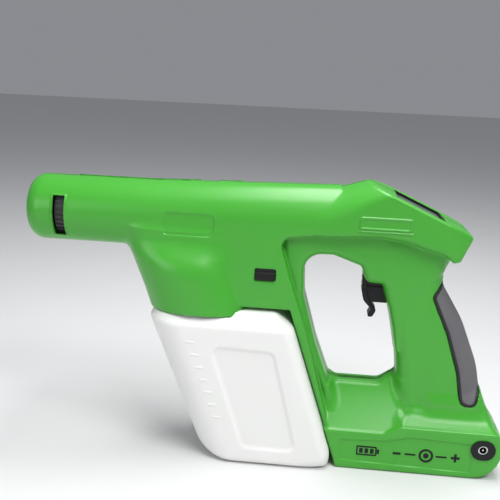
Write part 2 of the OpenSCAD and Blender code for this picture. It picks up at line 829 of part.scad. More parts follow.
module display_lens() {
    l = window_l - 0.3 - 4.2;
    hw = window_hw - 0.15 - 2.1;
    color("#9aa2a6") on_slope(-window_floor + 2.3) translate([-l / 2, -hw, 0]) cube([l, 2 * hw, 1.8]);
}

module display_module() {
    color("darkslategray") on_slope(-window_floor - 4) {
        translate([-16, -18, 0]) cube([32, 36, 3.6]);
        for (i = [0:3]) translate([-12 + 6.5 * i, -5, 3.6]) cube([4, 10, 0.8]);
    }
}

module control_board() {
    color("darkgreen") on_slope(-window_floor - 6) {
        translate([-26, -20, 0]) cube([50, 40, 1.6]);
        translate([-20, -12, -3]) cube([10, 10, 3.2]);
        translate([4, -14, -2.4]) cube([12, 8, 2.6]);
        translate([2, 4, -6]) cube([9, 12, 6.2]);
    }
}

/* ---------- battery and wires ---------- */

module battery_cell(row) {
    y = row * cell_pitch;
    color("steelblue") translate([cell_x, y, cell_z]) rotate([0, 90, 0]) {
        cylinder(r = cell_r, h = cell_l - 1.4, $fn = 48);
        translate([0, 0, cell_l - 1.5]) cylinder(r = 3, h = 1.5, $fn = 32);
    }
}

module battery_cell_left() {
    battery_cell(-1);
}

module battery_cell_middle() {
    battery_cell(0);
}

module battery_cell_right() {
    battery_cell(1);
}

module battery_tabs() {
    color("silver") {
        translate([cell_x - 0.5, -cell_pitch - 4, cell_z - 4]) cube([0.4, cell_pitch + 8, 8]);
        translate([cell_x + cell_l + 0.1, -4, cell_z - 4]) cube([0.4, cell_pitch + 8, 8]);
    }
}

module battery_board() {
    color("darkgreen") {
        translate([84, -17, 22.6]) cube([46, 34, 1.6]);
        for (x = [90, 100, 110]) translate([x, -12, 24.1]) cube([6, 5, 1.6]);
        translate([118, -4, 24.1]) cube([8, 8, 4]);
    }
}

module battery_lead() {
    color("firebrick") for (y = [-3.5, 3.5]) wire([
        [126.4, y, 27], [140, y, 27], [152, y, 56], [154, y, 100], [144, y, 130], [139, y, 158],
        [135, y, 174], [120, y, 184], [114.5, y, 199]], 1.3);
}

/* ---------- charging socket ---------- */

module jack_bezel() {
    face_r = 8.5;
    stretch = 1.5;
    color("#1c1c1e") difference() {
        union() {
            for (x = [-stretch, stretch]) across(jack_x + x, -base_hw - 1.2, jack_z)
                cylinder(r = face_r, h = 1.2, $fn = 64);
            translate([jack_x - stretch, -base_hw - 1.2, jack_z - face_r])
                cube([2 * stretch, 1.2, 2 * face_r]);
            across(jack_x, -base_hw - 0.1, jack_z) cylinder(r = jack_r, h = 9, $fn = 64);
        }
        across(jack_x, -base_hw - 2, jack_z) cylinder(r = 4.1, h = 12, $fn = 48);
    }
}

module jack_sleeve() {
    color("silver") across(jack_x, -base_hw, jack_z) ring(4, 2.9, 8.7);
}

module jack_pin() {
    color("silver") across(jack_x, -base_hw + 1, jack_z) {
        cylinder(r = 1.1, h = 8, $fn = 32);
        sphere(r = 1.1, $fn = 32);
    }
}

module jack_body() {
    color("#202024") translate([jack_x - 7, -base_hw + 9.1, jack_z - 7]) {
        cube([14, 9, 14]);
        for (x = [3, 10]) translate([x, 9, 6]) cube([1, 4, 2]);
    }
}

housing_left();
housing_right();
housing_screws();
grip_pad();
nose_insert();
electrode_ring();
nozzle_selector();
nozzle_tips();
spindle_clip();
selector_seal();
nozzle_seat();
hv_module();
hv_lead();
pump_head();
pump_motor();
pump_mount();
outlet_hose();
inlet_hose();
tank_socket();
socket_seal();
tank();
tank_cap();
cap_gasket();
dock_plug();
cap_valve();
pickup_tube();
pickup_filter();
latch_button();
latch_bar();
latch_spring();
trigger();
trigger_spring();
trigger_switch();
display_bezel();
display_lens();
display_module();
control_board();
battery_cell_left();
battery_cell_middle();
battery_cell_right();
battery_tabs();
battery_board();
battery_lead();
jack_bezel();
jack_sleeve();
jack_pin();
jack_body();
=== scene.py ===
import json
import math

import bmesh
import bpy
import numpy as np
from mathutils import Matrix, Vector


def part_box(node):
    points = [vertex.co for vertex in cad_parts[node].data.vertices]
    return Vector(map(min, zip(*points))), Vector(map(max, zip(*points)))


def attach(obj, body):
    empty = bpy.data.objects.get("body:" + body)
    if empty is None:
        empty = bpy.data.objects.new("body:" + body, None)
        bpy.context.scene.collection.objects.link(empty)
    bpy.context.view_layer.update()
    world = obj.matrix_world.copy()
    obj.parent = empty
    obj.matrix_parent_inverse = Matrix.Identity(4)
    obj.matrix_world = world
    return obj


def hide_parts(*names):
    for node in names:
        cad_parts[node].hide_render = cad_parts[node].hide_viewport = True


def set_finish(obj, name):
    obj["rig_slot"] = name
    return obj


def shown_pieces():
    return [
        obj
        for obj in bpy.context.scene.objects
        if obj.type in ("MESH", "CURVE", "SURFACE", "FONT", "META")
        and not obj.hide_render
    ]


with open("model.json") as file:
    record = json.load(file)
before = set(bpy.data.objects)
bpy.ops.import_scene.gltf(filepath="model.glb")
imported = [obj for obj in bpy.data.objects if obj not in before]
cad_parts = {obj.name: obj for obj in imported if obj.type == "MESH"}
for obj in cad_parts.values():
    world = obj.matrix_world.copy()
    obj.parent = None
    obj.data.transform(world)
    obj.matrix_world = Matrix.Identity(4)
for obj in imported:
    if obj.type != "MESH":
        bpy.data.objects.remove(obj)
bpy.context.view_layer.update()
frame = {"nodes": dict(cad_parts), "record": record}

import openvdb
from mathutils import Matrix, Vector

# ---------- dimensions shared with the part, in millimetres ----------

MM = 0.001
STEP = 0.7


def box_mm(node):
    low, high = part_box(node)
    return low / MM, high / MM


NOSE_X = box_mm("nose_insert")[0].x
HEEL_X = 205
TILT = math.radians(19)
SIN, COS, LEAN = math.sin(TILT), math.cos(TILT), math.tan(TILT)
BARREL_R, BARREL_Z, NOSE_L = 27.75, 201.5, 13
WALL = 2.5
BELLY_Z = 132
COWL_R, RIM_Z, RIM_FOOT, DOCK_X = 43, 126.5, 125.2, -50.5
HEAD_HW, HEAD_SLOPE, WINDOW_X, WINDOW_Z = 30, math.radians(24), 124, 221
WINDOW_L, WINDOW_HW, WINDOW_FLOOR = 44.4, 24.5, 7
CONE_X, CONE_GROW = 50, 0.32
FRAME_HW, BASE_HW, BASE_SUNK = 20, 33.5, 1.0
PAD_T = 2.4
TANK_HW, TANK_TOP, TANK_WALL, NECK_R, NECK_TOP = 43, 129.5, 2.2, 23, 17
SLOT_FRONT, SLOT_W, SLOT_H, SLOT_DROP = 24.7, 9.8, 33.5, 3.25
MOUTH_R = 15
FLANGE = Vector((1.8, 0, 1.8))
BUTTON = (box_mm("latch_button")[0] + FLANGE, box_mm("latch_button")[1] - FLANGE)
JACK = (189.4, 26)
SCREWS = [(-140, 180.5), (-118, 222.5), (0, 223), (22, 150), (64, 214),
          (152, 190), (128, 100), (72, 40), (186, 9)]


def column_x(z):
    return 24.4 + (BELLY_Z - z) * LEAN


# ---------- distance fields ----------

class Field:
    """Points of a block of space, in millimetres; side is the distance from the centre plane.

    A form is an array of distances at these points, negative inside it.
    """

    def __init__(self, low, high, step):
        self.low = low
        self.step = step
        axes = [np.arange(a, b + step, step, dtype=np.float32) for a, b in zip(low, high)]
        self.x = axes[0][:, None, None]
        self.y = axes[1][None, :, None]
        self.z = axes[2][None, None, :]
        self.side = np.abs(self.y)
        self.shape = [len(a) for a in axes]


def rounded(corners):
    """Closed outline from corners (u, v, radius), each radius drawn as an arc."""
    points = []
    for i, (u, v, r) in enumerate(corners):
        if not r:
            points.append((u, v))
            continue
        corner = Vector((u, v))
        to_a = (Vector(corners[i - 1][:2]) - corner).normalized()
        to_b = (Vector(corners[(i + 1) % len(corners)][:2]) - corner).normalized()
        half = to_a.angle(to_b) / 2
        centre = corner + (to_a + to_b).normalized() * r / math.sin(half)
        first = corner + to_a * r / math.tan(half) - centre
        last = corner + to_b * r / math.tan(half) - centre
        turn = first.angle_signed(last)
        for k in range(7):
            a = -turn * k / 6
            points.append((centre.x + first.x * math.cos(a) - first.y * math.sin(a),
                           centre.y + first.x * math.sin(a) + first.y * math.cos(a)))
    return points


def outline(u, v, points):
    """Distance to a closed outline in the plane of u and v."""
    near = np.full(np.broadcast(u, v).shape, 1e9, np.float32)
    inside = np.zeros(near.shape, bool)
    for (au, av), (bu, bv) in zip(points, points[1:] + points[:1]):
        du, dv = bu - au, bv - av
        if abs(du) + abs(dv) < 1e-6:
            continue
        t = np.clip(((u - au) * du + (v - av) * dv) / (du * du + dv * dv), 0, 1)
        near = np.minimum(near, (u - au - t * du) ** 2 + (v - av - t * dv) ** 2)
        if dv:
            inside ^= ((av > v) != (bv > v)) & (u < au + (v - av) * du / dv)
    return np.where(inside, -1, 1).astype(np.float32) * np.sqrt(near)


def crossed(a, b, r):
    """Where two forms overlap, with the edge between them rounded."""
    a = a + r
    b = b + r
    return np.minimum(np.maximum(a, b), 0) + np.hypot(np.maximum(a, 0), np.maximum(b, 0)) - r


def joined(a, b, soft):
    """Two forms together, with a fillet where they meet."""
    h = np.maximum(soft - np.abs(a - b), 0) / soft
    return np.minimum(a, b) - h * h * soft / 4


def common(a, b, soft):
    return -joined(-a, -b, soft)


def plate(g, corners, half_w, edge_r):
    """A side view given a width, with rounded edges."""
    return crossed(outline(g.x, g.z, rounded(corners)), g.side - half_w, edge_r)


def tapered(g, corners, half_w, narrow_w, from_z, to_z, hollow):
    """A side view whose sides lean in as they rise, steeper towards the top."""
    t = np.clip((g.z - from_z) / (to_z - from_z), 0, 1)
    width = narrow_w + (half_w - narrow_w) * (1 - t) ** hollow
    return crossed(outline(g.x, g.z, rounded(corners)), (g.side - width) * 0.85, 3)


def cylinder_y(g, x, z, r):
    return np.hypot(g.x - x, g.z - z) - r


def dock_axes(g):
    """Height along the cowl's axis, and distance from it."""
    along = -(g.x - DOCK_X) * SIN + (g.z - RIM_Z) * COS
    across = (g.x - DOCK_X) * COS + (g.z - RIM_Z) * SIN
    return along, np.hypot(across, g.y)


def slope_axes(g):
    """Distance down the head's slope, and height out of it."""
    c, s = math.cos(HEAD_SLOPE), math.sin(HEAD_SLOPE)
    return (g.x - WINDOW_X) * c - (g.z - WINDOW_Z) * s, (g.x - WINDOW_X) * s + (g.z - WINDOW_Z) * c


# ---------- outer form of the body ----------

def barrel_growth(g):
    """How many times taller the barrel's top is than at the nose; it rises towards the head."""
    start_x, length, per_mm = -95, 150, 0.0011
    return 1 + per_mm * np.clip(g.x - start_x, 0, length)


def barrel_form(g):
    """Round barrel with a domed nose; its rear end lies inside the head."""
    flat_r = 17
    r = np.hypot(g.side, np.minimum(g.z - BARREL_Z, (g.z - BARREL_Z) / barrel_growth(g)))
    u = np.maximum(NOSE_X + NOSE_L - g.x, 0) / NOSE_L
    v = np.maximum(r - flat_r, 0) / (BARREL_R - flat_r)
    f = np.maximum(np.hypot(u, v), 1e-3)
    steep = np.maximum(np.hypot(u / NOSE_L, v / (BARREL_R - flat_r)) / f, 1e-3)
    behind = np.maximum(g.x - 60, np.minimum(g.x - 10, 197 - g.z))
    return np.maximum((f - 1) / steep, behind)


def rail_form(g):
    """Low ridge along the barrel's top, in two lengths."""
    height, half_w = 0.8, 1.6
    r = np.hypot(g.side, (g.z - BARREL_Z) / barrel_growth(g))
    spans = np.minimum(np.abs(g.x + 107) - 53, np.abs(g.x + 30) - 10)
    return np.maximum(np.maximum(r - BARREL_R - height, g.side - half_w),
                      np.maximum(spans, BARREL_Z - g.z))


def block_form(g):
    """Flat-sided body over the tank, and the strip down the front of the column."""
    return plate(g, [
        (-62, 203, 0), (-62, BELLY_Z, 0), (column_x(BELLY_Z), BELLY_Z, 0), (column_x(24), 24, 0),
        (62.5, 24, 0), (58.5, 45, 0), (37.3, 118.7, 60), (22.9, 158.4, 60), (12.5, 191.5, 8),
        (46, 195.6, 0), (46, 203, 0)], BARREL_R, 1.5)


def cowl_form(g):
    """Bulge over the tank's neck, wider than the block above a soft shoulder."""
    foot_z, top_z, spread = 154, 185, 21
    t = np.clip((top_z - g.z) / (top_z - foot_z), 0, 1)
    width = BARREL_R - 1.5 + spread * np.sin(t * math.pi / 2) ** 1.4
    bulge = common(dock_axes(g)[1] - COWL_R, (g.side - width) * 0.75, 12)
    return np.maximum(np.maximum(bulge, RIM_FOOT - g.z), g.z - top_z - 5)


def neck_form(g):
    """The cowl's round front carried up to the barrel, as wide as the barrel."""
    tube = common(dock_axes(g)[1] - COWL_R, g.side - BARREL_R, 8)
    return np.maximum(tube, np.maximum(g.z - BARREL_Z, RIM_FOOT - g.z))


def head_form(g):
    """Display head: a cone growing out of the barrel, cut off by the slope and its corners."""
    ease = 18
    side = plate(g, [
        (40, 206, 0), (40, 194.9, 0), (90, 197, 60), (113, 194.6, 40), (130.5, 189, 40),
        (144.5, 185.5, 12), (151.5, 179.5, 3), (157, 181, 2.5), (168, 204, 6), (150, 245, 0),
        (40, 245, 0)], HEAD_HW, 1.5 + 3 * np.clip((g.x - 45) / 50, 0, 1))
    radius = np.hypot(g.side, np.maximum(g.z - BARREL_Z, 0))
    past = g.x - CONE_X
    grown = CONE_GROW * np.where(past > ease, past, np.maximum(past + ease, 0) ** 2 / (4 * ease))
    cone = (radius - BARREL_R - grown) / math.hypot(1, CONE_GROW)
    form = common(side, cone, 3)
    form = common(form, slope_axes(g)[1], 3)
    corner = ((g.x - 151) * 8 + (g.side - HEAD_HW) * 20) / math.hypot(8, 20)
    tip = (g.x - 163 + g.z - 205) / math.sqrt(2)
    return common(common(form, corner, 3), tip, 4)


def hand_opening(g):
    return outline(g.x, g.z, rounded([
        (34.8, 141, 30), (33.2, 177.7, 14), (57, 178.1, 10), (80, 170.2, 3), (85, 156.7, 7),
        (98.5, 156.5, 3), (105, 136.5, 40), (109.5, 118, 60), (113.2, 100, 60), (116.2, 76.4, 2.2),
        (111, 75, 5), (103, 68.5, 8), (59.8, 68, 3), (47.2, 100, 60)]))


def web_form(g):
    """Flat column in front of the hand opening, and the plate round the opening."""
    sheet = outline(g.x, g.z, rounded([
        (14, 201, 0), (16, 172, 0), (30, 132, 0), (58, 46, 0), (69, 43, 3), (59.8, 76, 0),
        (116, 100, 0), (116, 140, 0), (146, 170, 0), (146, 201, 0)]))
    return crossed(np.maximum(sheet, -hand_opening(g)), g.side - FRAME_HW, 6)


def grip_form(g):
    front = np.maximum(outline(g.x, g.z, rounded([
        (92, 200, 0), (92, 150, 0), (100, 128, 0), (104, 100, 0), (114, 84, 0), (119, 50, 0),
        (120, 36, 0), (187, 36, 0),
        (187, 60, 10), (180.5, 92, 80), (165, 129.2, 80), (147.5, 157, 9), (147, 168, 9),
        (153, 182, 0), (150, 200, 0)])), -hand_opening(g))
    return crossed(front, g.side - FRAME_HW + 0.5, 12)


def base_form(g):
    return plate(g, [
        (column_x(0), 0, 2), (HEEL_X, 0, 24), (HEEL_X, 33, 4), (201, 39.8, 3), (120, 39.8, 9),
        (108, 33, 9), (column_x(33), 33, 0)], BASE_HW, 1.4)


def hip_form(g):
    return tapered(g, [
        (column_x(28) + 1, 28, 0), (122, 28, 0), (122, 72, 0), (116, 76.6, 3), (110.5, 75.6, 4),
        (102, 68.4, 8), (column_x(68) + 2.5, 68.4, 0)], BASE_HW - 1.2, 6, 33, 76, 1.25)


def foot_form(g):
    return tapered(g, [(121, 30, 0), (204, 30, 0), (200, 40, 0), (190, 52.5, 0), (130, 52.5, 4),
                       (122, 44, 8)], BASE_HW - 1, FRAME_HW - 1, 39.8, 56, 1.6)


def tail_form(g):
    return plate(g, [(140, 34, 0), (204, 32, 0), (195.5, 49, 30), (185.3, 71.5, 1), (170, 66, 4),
                     (140, 66, 0)],
                 FRAME_HW + 1.5, 9)


def body_form(g):
    fillet = 0.1 + 3.5 * np.clip((BARREL_Z - 1 - g.z) / 6, 0, 1) + 3 * np.clip((186 - g.z) / 12, 0, 1)
    form = joined(barrel_form(g), neck_form(g), fillet)
    form = np.minimum(form, block_form(g))
    form = joined(form, cowl_form(g), 1.5 + 7 * np.clip((g.z - 140) / 30, 0, 1))
    form = np.minimum(form, head_form(g))
    lower = joined(web_form(g), grip_form(g), 3)
    base = joined(hip_form(g), foot_form(g), 8)
    base = joined(base_form(g), base, 2)
    lower = joined(lower, tail_form(g), 5)
    lower = joined(lower, base, 6)
    form = joined(form, lower, 2.5)
    return np.minimum(form, rail_form(g))


# ---------- surface details ----------

def soft_step(d, width):
    """1 inside a form, 0 outside, with a slope between."""
    t = np.clip(0.5 - d / width, 0, 1)
    return t * t * (3 - 2 * t)


def box_outline(g, x0, x1, z0, z1, r):
    return crossed(np.abs(g.x - (x0 + x1) / 2) - (x1 - x0) / 2,
                   np.abs(g.z - (z0 + z1) / 2) - (z1 - z0) / 2, r)


def surface_details(g):
    """How much lower the skin lies, for sunk panels, raised plates and rims."""
    flank = (g.side > 10).astype(np.float32)
    barrel_panel = box_outline(g, -82, -40.5, 189, 206.5, 4)
    plate_edge = box_outline(g, 75.5, 116.5, 203.4, 213.4, 1.5)
    plate_line = box_outline(g, 75, 118, 201.2, 202.2, 0.4)
    base_panel = outline(g.x, g.z, rounded([
        (73, 7, 2), (181, 4.6, 2), (180.5, 29.6, 2), (130, 31.8, 8), (110, 26.5, 10), (72, 25, 2)]))
    low = soft_step(barrel_panel, 1.0)
    low = low - 1.1 * soft_step(plate_edge, 1.0) + soft_step(plate_edge + 1.5, 0.9)
    low = low - soft_step(plate_line, 0.9)
    low = low + BASE_SUNK * soft_step(base_panel, 0.9)
    slot = box_outline(g, NOSE_X + SLOT_FRONT - 1.3, NOSE_X + SLOT_FRONT + SLOT_W + 1.3,
                       BARREL_Z - SLOT_DROP - SLOT_H / 2 - 1, BARREL_Z - SLOT_DROP + SLOT_H / 2 + 1, 1)
    low = low - soft_step(slot, 0.9)
    return low * flank


def pad_outline(g):
    return outline(g.x, g.z, rounded([
        (147.8, 163.5, 2), (138.4, 149, 7), (152.6, 119, 80), (163.9, 86, 80), (168.9, 57.5, 8),
        (182, 57, 6), (185.1, 71.5, 0), (200, 80, 0), (200, 130, 0), (170, 168, 0)]))


# ---------- shells ----------

def shell_form(g, form, right):
    """Half shell with a sunk bed for the pad and bosses for the screws."""
    face = form + surface_details(g)
    pad = pad_outline(g)
    shell = np.maximum(face, -(form + WALL))
    backing = np.maximum(np.maximum(form + PAD_T + 0.1, -(form + PAD_T + WALL)), pad - WALL)
    shell = np.where(pad < 0, backing, np.minimum(shell, backing))
    for x, z in SCREWS:
        boss = np.maximum(cylinder_y(g, x, z, 4.8 if right else 3.2), form + 0.6)
        shell = np.minimum(shell, boss)
        if right:
            hole = np.minimum(cylinder_y(g, x, z, 1.7),
                              np.maximum(cylinder_y(g, x, z, 3.2), 10 - g.side))
            shell = np.maximum(shell, -hole)
    return np.maximum(np.maximum(shell, -openings(g, right)), 0.04 - g.side)


def openings(g, right):
    """Mouth, slots, cowl, window, trigger and hook openings; button and socket on the left."""
    radius = dock_axes(g)[1]
    barrel_radius = np.hypot(g.side, g.z - BARREL_Z)
    cut = np.maximum(barrel_radius - MOUTH_R, g.x - NOSE_X - 15)
    slot = box_outline(g, NOSE_X + SLOT_FRONT, NOSE_X + SLOT_FRONT + SLOT_W,
                       BARREL_Z - SLOT_DROP - SLOT_H / 2, BARREL_Z - SLOT_DROP + SLOT_H / 2, 0.6)
    cut = np.minimum(cut, slot)
    cut = np.minimum(cut, np.maximum(radius - COWL_R + WALL, g.z - RIM_Z - WALL - 1))
    down, out = slope_axes(g)
    window = np.maximum(crossed(np.abs(down) - WINDOW_L / 2, g.side - WINDOW_HW, 1),
                        -out - WINDOW_FLOOR)
    cut = np.minimum(cut, window)
    trigger = np.maximum(box_outline(g, 78, 116, 136.5, 169.5, 1), g.side - 8.6)
    cut = np.minimum(cut, trigger)
    hook = np.maximum(box_outline(g, -4, 15, BELLY_Z - 4, BELLY_Z + 6, 0.5), g.side - 10)
    cut = np.minimum(cut, hook)
    if not right:
        low, high = BUTTON
        cut = np.minimum(cut, box_outline(g, low.x - 0.25, high.x + 0.25, low.z - 0.25,
                                          high.z + 0.25, 0.8))
        cut = np.minimum(cut, np.maximum(cylinder_y(g, JACK[0], JACK[1], 6.8), 20 - g.side))
    return cut


# ---------- tank ----------

def tank_front(z):
    return -92.2 + (115 - z) * 0.405


def tank_form(g):
    """Leaning tank, round in front and square behind, with soft corners at the floor."""
    front = tank_front(g.z)
    back = column_x(g.z) - 0.9
    half_l = (back - front) / 2
    offset = g.x - (front + back) / 2
    r = 9 + 21 * soft_step(offset, 30)
    plan = crossed(np.abs(offset) - half_l, g.side - TANK_HW, r) * 0.96
    towards_end = np.clip((np.abs(offset) - half_l + 30) / 30, 0, 1)
    form = crossed(plan, -g.z, 6 + 11 * towards_end ** 2)
    shoulder = (form + g.z - TANK_TOP + 11) / math.sqrt(2)
    return common(np.maximum(form, g.z - TANK_TOP), shoulder, 2)


def tank_marks(g):
    """Sunk panel and seven raised level marks on each side."""
    panel = outline(g.x, g.z, rounded([
        (-38, 101, 6), (13.5, 99.5, 6), (36, 14.5, 6), (-8.5, 15.5, 6)]))
    low = 1.6 * soft_step(panel, 4)
    for i in range(7):
        z = 104 - 10.6 * i
        x = -54.6 + 3.9 * i
        low = low - 0.7 * soft_step(box_outline(g, x - 3.2, x + 3.2, z - 0.55, z + 0.55, 0.5), 1.1)
    return low * (g.side > 30)


def tank_shell(g):
    """Blown wall; the top lies lower inside the cowl's rim."""
    along, radius = dock_axes(g)
    room = np.maximum(radius - COWL_R - 0.6, RIM_FOOT - 0.6 - g.z)
    form = np.maximum(tank_form(g), -room) + tank_marks(g)
    neck = np.maximum(np.maximum(radius - NECK_R, along - NECK_TOP), RIM_FOOT - 2.5 - g.z)
    outer = joined(form, neck, 3)
    bore = np.maximum(radius - NECK_R + 2.5, along - NECK_TOP - 5)
    inner = np.minimum(form + TANK_WALL, bore)
    return np.maximum(outer, -inner)


# ---------- small parts ----------

def trigger_form(g):
    """Ribbed blade with a curled lip, and the block behind it."""
    blade = plate(g, [
        (82.4, 167, 1), (82.2, 147, 12), (84.2, 139, 8), (91, 132, 3), (88, 125.2, 1.2),
        (92.5, 125.2, 2), (95.5, 131, 3), (89, 140.5, 8), (87, 148, 6), (87, 167, 1)], 8, 1.6)
    body = plate(g, [(86, 167, 1), (86, 138, 1), (112, 138, 2), (112, 167, 2)], 7.4, 1.2)
    groove = np.abs(g.z - 152.5) - 0.5
    ribs = 0.4 * soft_step(np.abs(np.mod(g.z - 143, 4.5) - 2.25) - 0.6, 0.8)
    blade = blade + ribs * (g.z > 141) * (g.z < 163) * (g.x < 84.5)
    body = body + 0.5 * soft_step(groove, 0.8)
    return joined(blade, body, 1)


def button_form(g):
    """Push button whose upper edge is set back in a step."""
    low, high = BUTTON
    face = box_outline(g, low.x, high.x, low.z, high.z, 1.2)
    cap = crossed(face, low.y - g.y, 0.8)
    step = np.maximum(high.z - 2.8 - g.z, g.y - low.y - 1.2)
    return np.maximum(np.maximum(cap, -step), g.y - low.y - 7)


# ---------- meshes ----------

def mesh_object(name, points, quads, triangles):
    mesh = bpy.data.meshes.new(name)
    corners = np.concatenate([quads.ravel(), triangles.ravel()]).astype(np.int32)
    sizes = np.concatenate([np.full(len(quads), 4), np.full(len(triangles), 3)]).astype(np.int32)
    starts = np.concatenate([[0], np.cumsum(sizes)[:-1]]).astype(np.int32)
    mesh.vertices.add(len(points))
    mesh.vertices.foreach_set("co", points.astype(np.float32).ravel())
    mesh.loops.add(len(corners))
    mesh.loops.foreach_set("vertex_index", corners)
    mesh.polygons.add(len(sizes))
    mesh.polygons.foreach_set("loop_start", starts)
    mesh.polygons.foreach_set("use_smooth", np.ones(len(sizes), bool))
    mesh.update(calc_edges=True)
    mesh.validate()
    item = bpy.data.objects.new(name, mesh)
    bpy.context.scene.collection.objects.link(item)
    return item


def skin(name, g, values, mirror=False):
    """Mesh of a field's zero surface, in metres."""
    limit = 3 * g.step
    values = np.ascontiguousarray(np.clip(np.broadcast_to(values, g.shape), -limit, limit), np.float32)
    grid = openvdb.FloatGrid(limit)
    grid.copyFromArray(values)
    points, triangles, quads = grid.convertToPolygons(0.0, 0.0)
    points = (points * g.step + np.array(g.low)) * MM
    if mirror:
        points[:, 1] *= -1
        quads = quads[:, ::-1]
        triangles = triangles[:, ::-1]
    return mesh_object(name, points, quads, triangles)


def make_body():
    """Both shells; the CAD has the screws on the right."""
    g = Field((NOSE_X - 3, -3 * STEP, -3), (HEEL_X + 3, 46, 244), STEP)
    form = body_form(g)
    for name, right in (("housing_right", True), ("housing_left", False)):
        item = skin(name + "_skin", g, shell_form(g, form, right), mirror=not right)
        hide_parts(name)
        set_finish(item, "body_green")
        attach(item, "body")


def make_pad():
    step = STEP * 0.75
    g = Field((130, -26, 50), (195, 26, 170), step)
    form = body_form(g)
    pad = pad_outline(g)
    # base is the dark rim under the pad; its black is painted shade, standing in for the shadow in the
    # gap round the grey face.
    base = common(common(form, -(form + PAD_T), 0.6), pad + 0.3, 1)
    face = common(common(form - 0.5, -(form + 1), 0.8), pad + 2.3, 1.6)
    shadow_gap_rim = skin("grip_pad_shadow_rim", g, base)
    top = skin("grip_pad_face", g, face)
    # The rim gets black rubber as painted shade for that gap; the face gets grey rubber.
    for item, slot in ((shadow_gap_rim, "black_rubber"), (top, "grey_rubber")):
        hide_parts("grip_pad")
        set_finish(item, slot)
        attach(item, "body")


def make_tank():
    g = Field((-108, -46, -3), (74, 46, 148), STEP)
    item = skin("tank_skin", g, tank_shell(g))
    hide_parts("tank")
    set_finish(item, "tank_white")
    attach(item, "tank")


def make_trigger():
    g = Field((80, -9.5, 123), (115, 9.5, 169), 0.4)
    item = skin("trigger_skin", g, trigger_form(g))
    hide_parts("trigger")
    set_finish(item, "black_plastic")
    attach(item, "trigger")


def make_button():
    low, high = BUTTON
    g = Field((low.x - 1, low.y - 1, low.z - 1), (high.x + 1, low.y + 8, high.z + 1), 0.3)
    item = skin("latch_button_skin", g, button_form(g))
    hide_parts("latch_button")
    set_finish(item, "black_plastic")
    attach(item, "latch")


def circle(x, z, r):
    return [(x + r * math.cos(math.tau * k / 32), z + r * math.sin(math.tau * k / 32)) for k in range(32)]


def bar(x, z, length, height, r):
    half_l, half_h = length / 2, height / 2
    return rounded([(x - half_l, z - half_h, r), (x + half_l, z - half_h, r),
                    (x + half_l, z + half_h, r), (x - half_l, z + half_h, r)])


def raised_marks(name, shapes, near, far):
    """Thin marks in x and z; a shape is one outline, or two with a ring between them."""
    mesh = bmesh.new()
    for loops in shapes:
        rims = [[[mesh.verts.new((x * MM, y * MM, z * MM)) for x, z in loop] for y in (near, far)]
                for loop in loops]
        count = len(rims[0][0])
        for front, back in rims:
            for k in range(count):
                m = (k + 1) % count
                mesh.faces.new((front[k], front[m], back[m], back[k]))
        for layer in (0, 1):
            if len(rims) == 1:
                mesh.faces.new(rims[0][layer])
                continue
            outer, inner = rims[0][layer], rims[1][layer]
            for k in range(count):
                m = (k + 1) % count
                mesh.faces.new((outer[k], outer[m], inner[m], inner[k]))
    bmesh.ops.recalc_face_normals(mesh, faces=mesh.faces)
    data = bpy.data.meshes.new(name)
    mesh.to_mesh(data)
    item = bpy.data.objects.new(name, data)
    bpy.context.scene.collection.objects.link(item)
    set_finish(item, "black_plastic")
    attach(item, "body")


def make_base_marks():
    """Battery sign and the sign for a plug whose centre is positive."""
    z, ring_x, plus_x = 16.5, 144, 168
    shapes = [(bar(95, z, 17, 8.4, 1.2), bar(95, z, 14.6, 6, 0.6)), (bar(104.6, z, 1.8, 4, 0.6),)]
    shapes += [(bar(90.5 + 4.5 * i, z, 3, 4.2, 0.4),) for i in range(3)]
    shapes += [(bar(120, z, 6.5, 2, 0.3),), (bar(131, z, 9, 1.4, 0.3),)]
    shapes += [(circle(ring_x, z, 6), circle(ring_x, z, 4.2)), (circle(ring_x, z, 2.3),)]
    shapes += [(bar(156.5, z, 9, 1.4, 0.3),)]
    plus = [(1, 1), (3.6, 1), (3.6, -1), (1, -1), (1, -3.6), (-1, -3.6), (-1, -1), (-3.6, -1),
            (-3.6, 1), (-1, 1), (-1, 3.6), (1, 3.6)]
    shapes += [([(plus_x + x, z + dz) for x, dz in plus],)]
    surface = -BASE_HW + BASE_SUNK
    raised_marks("base_marks", shapes, surface - 0.3, surface + 0.3)


# ---------- materials ----------

def nodes_of(name):
    material = bpy.data.materials.new(name)
    material.use_nodes = True
    tree = material.node_tree
    return material, tree, tree.nodes["Principled BSDF"]


